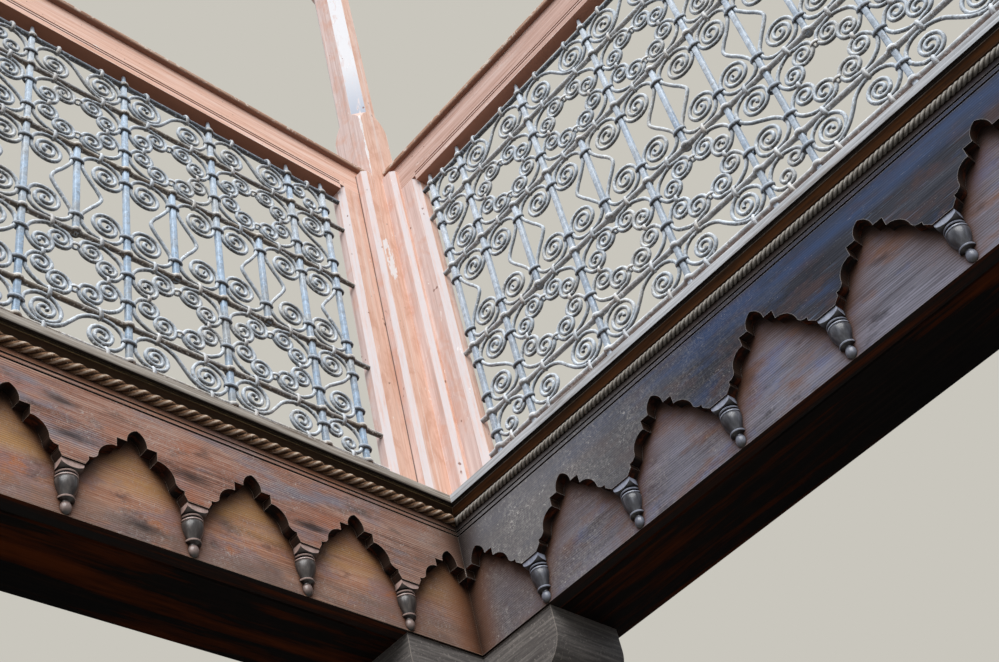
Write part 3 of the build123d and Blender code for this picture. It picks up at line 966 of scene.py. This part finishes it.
def ties(side, wires):
    """Ties round the level bars, and rings that hold two curls together."""
    reach = level_bar / 2 + wire + 2
    spots = merged([p for w in wires for p in w.ties], 20)
    made = copies(
        band("tie", reach, level_bar / 2 + 3.5, tie_width / 2),
        [at(x, z, 90, random.uniform(-9, 9)) for x, z in spots],
    )
    rings = [p for w in wires for p in w.rings]
    made += copies(
        band("ring", wire + 3, wire / 2 + 3.5, 5),
        [at(x, z, 90 if kind == "upright" else 0, random.uniform(-6, 6)) for x, z, kind in rings],
    )
    return join(made, side + "_ties")


def eyes(arm, side):
    """Knuckles where the uprights pass through punched eyes in the level bars."""
    full_height = upright_places(arm)
    spots = [(x, z) for x in full_height for z in bar_levels]
    for x in middle_row_uprights(arm):
        if x not in full_height:
            spots += [(x, bar_levels[2]), (x, bar_levels[3])]
    knuckle = band("eye", upright_bar / 2 + 6.5, upright_bar / 2 + 6.5, level_bar / 2 + 0.5)
    places = [at(x, z, lean=random.uniform(-6, 6)) for x, z in spots]
    return join(copies(knuckle, places), side + "_eyes")


def level_bars(arm, side, levels, name):
    """Forged level bars, a little uneven, swollen at each eye."""
    low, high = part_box(side + "_grille_bars")
    if side == "right":
        start, end = (low.x - corner_line) / mm, (high.x - corner_line) / mm
    else:
        start, end = (-corner_line - high.y) / mm, (-corner_line - low.y) / mm
    paths = []
    for level in levels:
        z = bar_levels[level]
        path = [(start, z, 0.95)]
        places = middle_row_uprights(arm) if level in (2, 3) else upright_places(arm)
        for x in places:
            path += [(x - 18, z, 1.0), (x, z, 1.35), (x + 18, z, 1.0)]
        path.append((end, z, 0.95))
        paths.append([(x, z + random.uniform(-0.7, 0.7), swell) for x, z, swell in path])
    return bent_bars(side + name, paths, level_bar, 8)


def pointed_upright(name, x, low, high, tip):
    """A square upright with eased corners, drawn out to a point at its top where it enters the rail."""
    deselect()
    bpy.ops.mesh.primitive_cube_add(size=1)
    item = bpy.context.object
    item.name = name
    item.data.transform(
        mathutils.Matrix.Translation((x * mm, grille_depth * mm, (low + high) / 2 * mm))
        @ mathutils.Matrix.Diagonal((upright_bar * mm, upright_bar * mm, (high - low) * mm, 1))
    )
    if tip:
        for vertex in item.data.vertices:
            if vertex.co.z > (low + high) / 2 * mm:
                vertex.co.x += (x * mm - vertex.co.x) * 0.45
                vertex.co.y += (grille_depth * mm - vertex.co.y) * 0.45
    bevel = item.modifiers.new("eased", "BEVEL")
    bevel.width = 2.6 * mm
    bevel.segments = 2
    choose(item)
    bpy.ops.object.modifier_apply(modifier=bevel.name)
    bpy.ops.object.shade_smooth_by_angle(angle=math.radians(50))
    return item


def uprights(arm, side):
    low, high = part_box(side + "_grille_bars")
    made = []
    full_height = upright_places(arm)
    for x in full_height:
        made.append(pointed_upright("upright", x, low.z / mm, bar_levels[5] + 4, False))
        made.append(pointed_upright("tip", x, bar_levels[5] - 4, high.z / mm, True))
    for x in middle_row_uprights(arm):
        if x not in full_height:
            low_end, high_end = bar_levels[2] - short_tail, bar_levels[3] + short_tail
            made.append(pointed_upright("short", x, low_end, high_end, False))
    return join(made, side + "_uprights")


def smooth_path(points):
    """A wire's points with the small unevenness of handwork."""
    return [(x + random.uniform(-0.6, 0.6), z + random.uniform(-0.6, 0.6), 1.0) for x, z in points]


def screen(side):
    """One arm's ironwork."""
    arm = arms[side]
    node = side + "_grille_bars"
    dress(lay_in_place(uprights(arm, side), side), blue_iron[side], "wrought_iron", node)
    bars = level_bars(arm, side, (0, 1, 2, 3, 4), "_level_bars")
    dress(lay_in_place(bars, side), dusty_iron[side], "wrought_iron", node)
    top_bar = level_bars(arm, side, (5,), "_top_bar")
    dress(lay_in_place(top_bar, side), slate_iron, "wrought_iron", node)
    dress(lay_in_place(eyes(arm, side), side), dusty_iron[side], "wrought_iron")
    everything = []
    for name, rows in (("lower", (0, 1)), ("middle", (2,)), ("upper", (3, 4))):
        wires = [w for row in rows for w in row_wires(arm, row)]
        everything += wires
        paths = [smooth_path(w.points) for w in wires]
        piece = lay_in_place(bent_bars(side + "_scrolls_" + name, paths, wire, 6), side)
        if name == "middle":
            dress(piece, grey_iron, "wrought_iron", node)
        else:
            dress(piece, grey_iron, "wrought_iron")
    dress(lay_in_place(collars(side, everything), side), slate_iron, "wrought_iron")
    dress(lay_in_place(ties(side, everything), side), tie_iron, "wrought_iron")


def cut(item, place, normal):
    """Cuts off what lies on the side that the normal points to, and closes the mesh there."""
    choose(item)
    bpy.ops.object.mode_set(mode="EDIT")
    bpy.ops.mesh.select_all(action="SELECT")
    bpy.ops.mesh.bisect(plane_co=place, plane_no=normal, use_fill=True, clear_outer=True)
    bpy.ops.object.mode_set(mode="OBJECT")


def rope(side):
    """A carved twist on the face: a lobed rod swept along the arm, cut flat behind and mitred."""
    node = side + "_rope_moulding"
    low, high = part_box(node)
    far = high.x - corner_line if side == "right" else -low.y - corner_line
    centre = (low.z + high.z) / 2 - rope_drop[side] * mm
    out = corner_line + rope_out * mm
    radius = rope_radius[side] * mm
    if side == "right":
        tones = [(0.3, "#7d776f"), (0.5, "#9c968d"), (0.7, "#b9b4ab")]
        material = rope_cedar(
            "carved twist, right", side, (0, 1, 1), (0, -out, centre), tones, "#d8d4cd", "#4a443d"
        )
    else:
        tones = [(0.3, "#593f2d"), (0.5, "#7d5d44"), (0.7, "#9e7f62")]
        material = rope_cedar(
            "carved twist, left", side, (1, 0, 1), (out, 0, centre), tones, "#f0dcc6", "#2c1c11"
        )
    pitch = rope_pitch[side] * rope_strands * mm
    start = -2 * radius
    deselect()
    bpy.ops.mesh.primitive_circle_add(vertices=8 * rope_strands, radius=radius)
    item = bpy.context.object
    item.name = side + "_rope"
    for k, vertex in enumerate(item.data.vertices):
        bulge = abs(math.sin(math.pi * k / 8))
        vertex.co *= 0.68 + 0.32 * bulge**0.85
    item.data.transform(mathutils.Matrix.Rotation(math.pi / 2, 4, "Y"))
    screw = item.modifiers.new("twist", "SCREW")
    screw.axis = "X"
    screw.angle = math.radians(360 if side == "left" else -360)
    screw.screw_offset = pitch
    screw.steps = 18
    screw.render_steps = 18
    screw.iterations = math.ceil((far - start) / pitch) + 1
    screw.use_smooth_shade = True
    choose(item)
    bpy.ops.object.modifier_apply(modifier=screw.name)
    low_x = min(v.co.x for v in item.data.vertices)
    item.data.transform(mathutils.Matrix.Translation((start - low_x, -rope_out * mm, centre)))
    cut(item, (0, 0, 0), (-1, -1, 0))
    cut(item, (far, 0, 0), (1, 0, 0))
    cut(item, (0, 0.3 * mm, 0), (0, 1, 0))
    dress(lay_in_place(item, side), material, "rope_wood", node)


def turned_drop(top, back):
    """One split turning: square head with a rounded shoulder, ring, tapering body, bead and ball."""
    deselect()
    bpy.ops.mesh.primitive_circle_add(vertices=40, radius=drop_profile[0][0] * mm, fill_type="NGON")
    item = bpy.context.object
    item.name = "drop"
    bpy.ops.object.mode_set(mode="EDIT")
    bpy.ops.mesh.select_all(action="SELECT")
    reach, level = drop_profile[0]
    for radius, below in drop_profile[1:]:
        bpy.ops.mesh.extrude_region_move(
            TRANSFORM_OT_translate={"value": (0, 0, (level - below) * mm)}
        )
        share = radius / reach
        bpy.ops.transform.resize(value=(share, share, 1))
        reach, level = radius, below
    bpy.ops.mesh.select_all(action="SELECT")
    bpy.ops.mesh.normals_make_consistent(inside=False)
    bpy.ops.object.mode_set(mode="OBJECT")
    item.data.transform(mathutils.Matrix.Rotation(math.radians(4.5), 4, "Z"))
    side, depth = drop_side / 2 * mm, drop_side / 2 * mm
    cut(item, (side, 0, 0), (1, 0, 0))
    cut(item, (-side, 0, 0), (-1, 0, 0))
    cut(item, (0, -depth, 0), (0, -1, 0))
    cut(item, (0, 0, 0), (0, 1, 0))
    bpy.ops.object.mode_set(mode="EDIT")
    bpy.ops.mesh.select_all(action="SELECT")
    bpy.ops.mesh.normals_make_consistent(inside=False)
    bpy.ops.object.mode_set(mode="OBJECT")
    bpy.ops.object.shade_smooth_by_angle(angle=math.radians(32))
    flat_sides = {}
    for face in item.data.polygons:
        centre = face.center
        out = max(abs(centre.x) - side, -centre.y - depth)
        for key in face.edge_keys:
            flat_sides.setdefault(key, []).append(abs(out) < 0.05 * mm)
    for edge in item.data.edges:
        flats = flat_sides[edge.key]
        if any(flats) and not all(flats):
            edge.use_edge_sharp = True
    item.data.transform(mathutils.Matrix.Translation((0, back * mm, top)))
    return item


def drops(side, material):
    """A drop under each tongue of the carved board."""
    node = side + "_pendants"
    low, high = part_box(node)
    place = low.x - corner_line if side == "right" else -high.y - corner_line
    far = high.x - corner_line if side == "right" else -low.y - corner_line
    first = place + drop_side / 2 * mm
    pitch = tongue_pitch[side] * mm
    spots = []
    while first < far:
        spots.append(mathutils.Matrix.Translation((first, 0, 0)))
        first += pitch
    made = copies(turned_drop(high.z, drop_back), spots)
    dress(lay_in_place(join(made, side + "_drops"), side), material, "turned_wood", node)


def camera_and_light():
    """The photograph's view from below, a soft lamp over the court and an even sky."""
    bpy.ops.object.camera_add()
    camera = bpy.context.object
    axes = [mathutils.Vector(axis) for axis in (camera_right, camera_up, camera_back)]
    turn = mathutils.Matrix(axes).transposed().to_4x4()
    camera.matrix_world = mathutils.Matrix.Translation(camera_place) @ turn
    camera.data.sensor_width = sensor_width
    camera.data.lens = lens
    camera.data.clip_start = near_clip
    bpy.context.scene.camera = camera

    turned_to = (math.radians(sun_lean), 0, math.radians(sun_turn))
    bpy.ops.object.light_add(type="SUN", rotation=turned_to)
    sun = bpy.context.object
    sun.data.energy = sun_strength
    sun.data.angle = math.radians(sun_spread)

    world = bpy.data.worlds.new("even sky")
    bpy.context.scene.world = world
    world.use_nodes = True
    tree = world.node_tree
    seen = tree.nodes["Background"]
    seen.inputs["Color"].default_value = colour("#c9c6bd")
    seen.inputs["Strength"].default_value = 1.0
    place = add(tree, "ShaderNodeTexCoord", output="Generated")
    height = add(tree, "ShaderNodeSeparateXYZ", {"Vector": place}, "Z")
    brighter_above = {"Value": height, "From Min": -0.1, "From Max": 1.0, "To Min": 0.55, "To Max": 1.1}
    strength = add(tree, "ShaderNodeMapRange", brighter_above)
    light = add(tree, "ShaderNodeBackground", {"Color": "#e9eef6", "Strength": strength})
    by_camera = add(tree, "ShaderNodeLightPath", output="Is Camera Ray")
    chosen = add(tree, "ShaderNodeMixShader", {0: by_camera, 1: light, 2: seen.outputs[0]})
    tree.links.new(chosen, tree.nodes["World Output"].inputs["Surface"])


def pale_floor():
    """A floor at the level of the seats. It is seen and lit from above only, as the camera is lower."""
    bpy.ops.mesh.primitive_plane_add(size=floor_size, location=(0, 0, 0))
    floor = bpy.context.object
    floor.name = "floor"
    made = bpy.data.materials.new("pale floor")
    made.use_nodes = True
    tree = made.node_tree
    shader = tree.nodes["Principled BSDF"]
    by_camera = add(tree, "ShaderNodeLightPath", output="Is Camera Ray")
    by_gloss = add(tree, "ShaderNodeLightPath", output="Is Glossy Ray")
    seen = add(tree, "ShaderNodeMath", {0: by_camera, 1: by_gloss}, operation="MAXIMUM")
    tree.links.new(coat(tree, "#5f5c57", "#cfccc4", seen), shader.inputs["Base Color"])
    shader.inputs["Roughness"].default_value = 0.9
    clear = add(tree, "ShaderNodeBsdfTransparent")
    below = add(tree, "ShaderNodeNewGeometry", output="Backfacing")
    chosen = add(tree, "ShaderNodeMixShader", {0: below, 1: shader.outputs[0], 2: clear})
    tree.links.new(chosen, tree.nodes["Material Output"].inputs["Surface"])
    floor.data.materials.append(made)


def finish_nodes():
    """Finishes of the carried-over timbers."""
    left_face = corner_line / mm
    left_board = carved_cedar(
        "oiled cedar, red", "y",
        [(0.36, "#5f3a2c"), (0.46, "#936553"), (0.54, "#ac826f"), (0.64, "#bf9f90")],
        [
            (260, 80, "#7c7c88", [(0.47, 0.0), (0.59, 0.75)]),
            (180, 60, "#a8684a", [(0.54, 0.0), (0.68, 0.75)]),
            (110, 40, "#4a3a36", [(0.55, 0.0), (0.68, 0.75)]),
        ],
        (0.36, 1.2), "#b5a292", 0.5, 0.6, "#5a3a28",
        [(left_face, left_face - a, z) for a, z in ((1155, 340), (1130, 270), (900, 275), (640, 265))],
        (-420, 0, "#8a786d"), [(405, 450, "#a8714f")],
    )
    left_back = carved_cedar(
        "oiled cedar, ochre", "y",
        [(0.36, "#74442e"), (0.46, "#a5735a"), (0.54, "#ba8a70"), (0.64, "#c8a48e")],
        [
            (150, 80, "#7f7a88", [(0.47, 0.0), (0.58, 0.85)]),
            (150, 80, "#b86c32", [(0.52, 0.0), (0.64, 0.85)]),
            (110, 60, "#44373a", [(0.52, 0.0), (0.64, 0.8)]),
        ],
        (0.55, 1.1), "#b0947c", 0.5, 0.5, "#6f3f1e",
        [(left_face - 24, left_face - 980, 150)],
        (-420, 0, "#7c6254"), [(230, 340, "#b98c55"), (100, 160, "#80685d")],
    )
    # The right arm's boards face -Y: their bluish tones, patches and band are partly painted sky reflection
    right_board = carved_cedar(
        "oiled cedar, grey", "x",
        [(0.36, "#0f1118"), (0.46, "#20222c"), (0.56, "#31333d"), (0.66, "#494c57")],
        [
            (220, 60, "#2b3f63", [(0.54, 0.0), (0.68, 0.65)]),
            (120, 60, "#403031", [(0.48, 0.0), (0.6, 0.85)]),
            (160, 5, "#74839d", [(0.62, 0.0), (0.72, 0.45)]),
        ],
        (0.8, 1.08), "#a39e9a", 0.42, 1.0, "#3a2b22",
        corner=(800, 350, "#757375"), bands=[(408, 450, "#423c39"), (352, 378, "#2d4164")],
    )
    right_back = carved_cedar(
        "oiled cedar, violet", "x",
        [(0.36, "#413e48"), (0.46, "#696771"), (0.56, "#7c7a87"), (0.66, "#908e9a")],
        [
            (160, 60, "#5c698f", [(0.52, 0.0), (0.66, 0.7)]),
            (150, 60, "#74503c", [(0.5, 0.0), (0.66, 0.8)]),
            (90, 30, "#2f2d36", [(0.58, 0.0), (0.7, 0.7)]),
        ],
        (0.5, 1.15), "#8a7a70", 0.42, 0.8, "#6e4426",
        corner=(600, 150, "#655e5f"),
    )
    beams = {
        "right": shade_darkened_beam("softwood in painted shade, right", "x"),
        "left": shade_darkened_beam("softwood in painted shade, left", "y"),
    }
    bolster = dusty_bolster("dusty corbel oak")
    sills = {
        "left": weathered_sill(
            "weathered softwood, left", "y",
            [(0.26, "#5b5047"), (0.42, "#958b80"), (0.58, "#b5ada2"), (0.74, "#d8d2c8")], 0.85,
        ),
        "right": weathered_sill(
            "weathered softwood, right", "x",
            [(0.26, "#70706f"), (0.42, "#abadb0"), (0.58, "#c8cbcf"), (0.74, "#eceef0")], 0.15,
        ),
    }
    mouldings = {
        "left": shaded_moulding(
            "moulding in painted shade, left", "y",
            [(0.3, "#140e09"), (0.5, "#241a10"), (0.7, "#54432a")], "#3d2a1a", "#b39a66",
        ),
        "right": shaded_moulding(
            "moulding in painted shade, right", "x",
            [(0.3, "#0e0b09"), (0.52, "#1b1612"), (0.7, "#4b433a")], "#6e4525", "#a2978a",
        ),
    }
    post = limewashed_timber("salmon limewash")
    # The right rail faces -Y: its cooler, greyer tones are painted sky light on the same salmon wash
    rails = {
        "right": limewashed_rail(
            "salmon limewash, right", "x",
            [(0.3, "#a9806f"), (0.5, "#c9a698"), (0.72, "#dcc3b9")], "#9a654e",
        ),
        "left": limewashed_rail(
            "salmon limewash, left", "y",
            [(0.3, "#d39c80"), (0.5, "#ebbfa9"), (0.72, "#f4d6c8")], "#7e4c33",
        ),
    }
    caps = {"right": dusty_cap("dusty capping, right", "x"), "left": dusty_cap("dusty capping, left", "y")}
    finishes = {
        "right_lambrequin": right_board,
        "right_backboard": right_back,
        "left_lambrequin": left_board,
        "left_backboard": left_back,
        "corner_post": post,
    }
    for side in arms:
        for name in ("edge_beam", "sole_plate", "floor_boards"):
            finishes[side + "_" + name] = beams[side]
        for name in ("corner_bolster", "end_bolster"):
            finishes[side + "_" + name] = bolster
        for name in ("corner_jamb", "end_jamb", "corner_batten", "end_batten", "end_post"):
            finishes[side + "_" + name] = post
        for name in ("bottom_rail", "top_rail"):
            finishes[side + "_" + name] = rails[side]
        finishes[side + "_rail_cap"] = caps[side]
        finishes[side + "_sill"] = sills[side]
        finishes[side + "_cornice"] = mouldings[side]
    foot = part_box("left_corner_jamb")[1].x / mm
    finishes["left_corner_batten"] = limewashed_timber(
        "salmon limewash, left batten", ("X", foot + 4, foot + 2.5)
    )
    for name, material in finishes.items():
        nodes[name].data.materials.clear()
        nodes[name].data.materials.append(material)


deselect()
finish_nodes()

turned = {
    "left": turned_cedar(
        "turned cedar, left", ("#262220", "#423c39", "#625a55"), ("#a0867d", "#c6aaa0"), "#cdbbae"
    ),
    "right": turned_cedar(
        "turned cedar, right", ("#25252a", "#414248", "#63656d"), ("#7e8496", "#a9aebd"), "#c6ccd6"
    ),
}
blue_iron = {
    "left": painted_forged_iron(
        "forged iron, blue paint", "#dbe6f0", "#a9c2da", "#76828f",
        "#b9bdbe", [(0.45, 0.0), (0.6, 0.9)], "#7d7266", [(0.55, 0.0), (0.66, 0.7)],
    ),
    "right": painted_forged_iron(
        "forged iron, pale paint", "#eaf0f5", "#b3c0cd", "#8a929b",
        "#a8bcd2", [(0.5, 0.0), (0.64, 0.8)], "#857b70", [(0.55, 0.0), (0.66, 0.7)],
    ),
}
grey_iron = painted_forged_iron(
    "forged iron, grey paint", "#f0f6fa", "#b6c1cb", "#454545",
    "#bcb9b2", [(0.5, 0.0), (0.64, 0.7)], "#7d7163", [(0.53, 0.0), (0.64, 0.75)],
)
dusty_iron = {
    "left": painted_forged_iron(
        "forged iron, dusty", "#e2e0da", "#978d7f", "#43372c",
        "#a9abad", [(0.42, 0.0), (0.56, 0.9)], "#64492f", [(0.52, 0.0), (0.64, 0.75)],
    ),
    "right": painted_forged_iron(
        "forged iron, chalky", "#eef1f3", "#b4babf", "#8c8a88",
        "#a0968c", [(0.52, 0.0), (0.66, 0.7)], "#806850", [(0.54, 0.0), (0.66, 0.8)],
    ),
}
slate_iron = painted_forged_iron(
    "forged iron, slate", "#b5c0cc", "#636d79", "#262526",
    "#7d848b", [(0.45, 0.0), (0.6, 0.8)], "#5a4c40", [(0.56, 0.0), (0.68, 0.6)],
)
tie_iron = painted_forged_iron(
    "forged iron, pale ties", "#eff3f6", "#bcc4cb", "#6b6864",
    "#c9c2b8", [(0.45, 0.0), (0.6, 0.8)], "#857562", [(0.54, 0.0), (0.66, 0.7)],
)
for side in arms:
    screen(side)
    rope(side)
    drops(side, turned[side])

pale_floor()
camera_and_light()
bpy.context.scene.view_settings.view_transform = "Standard"
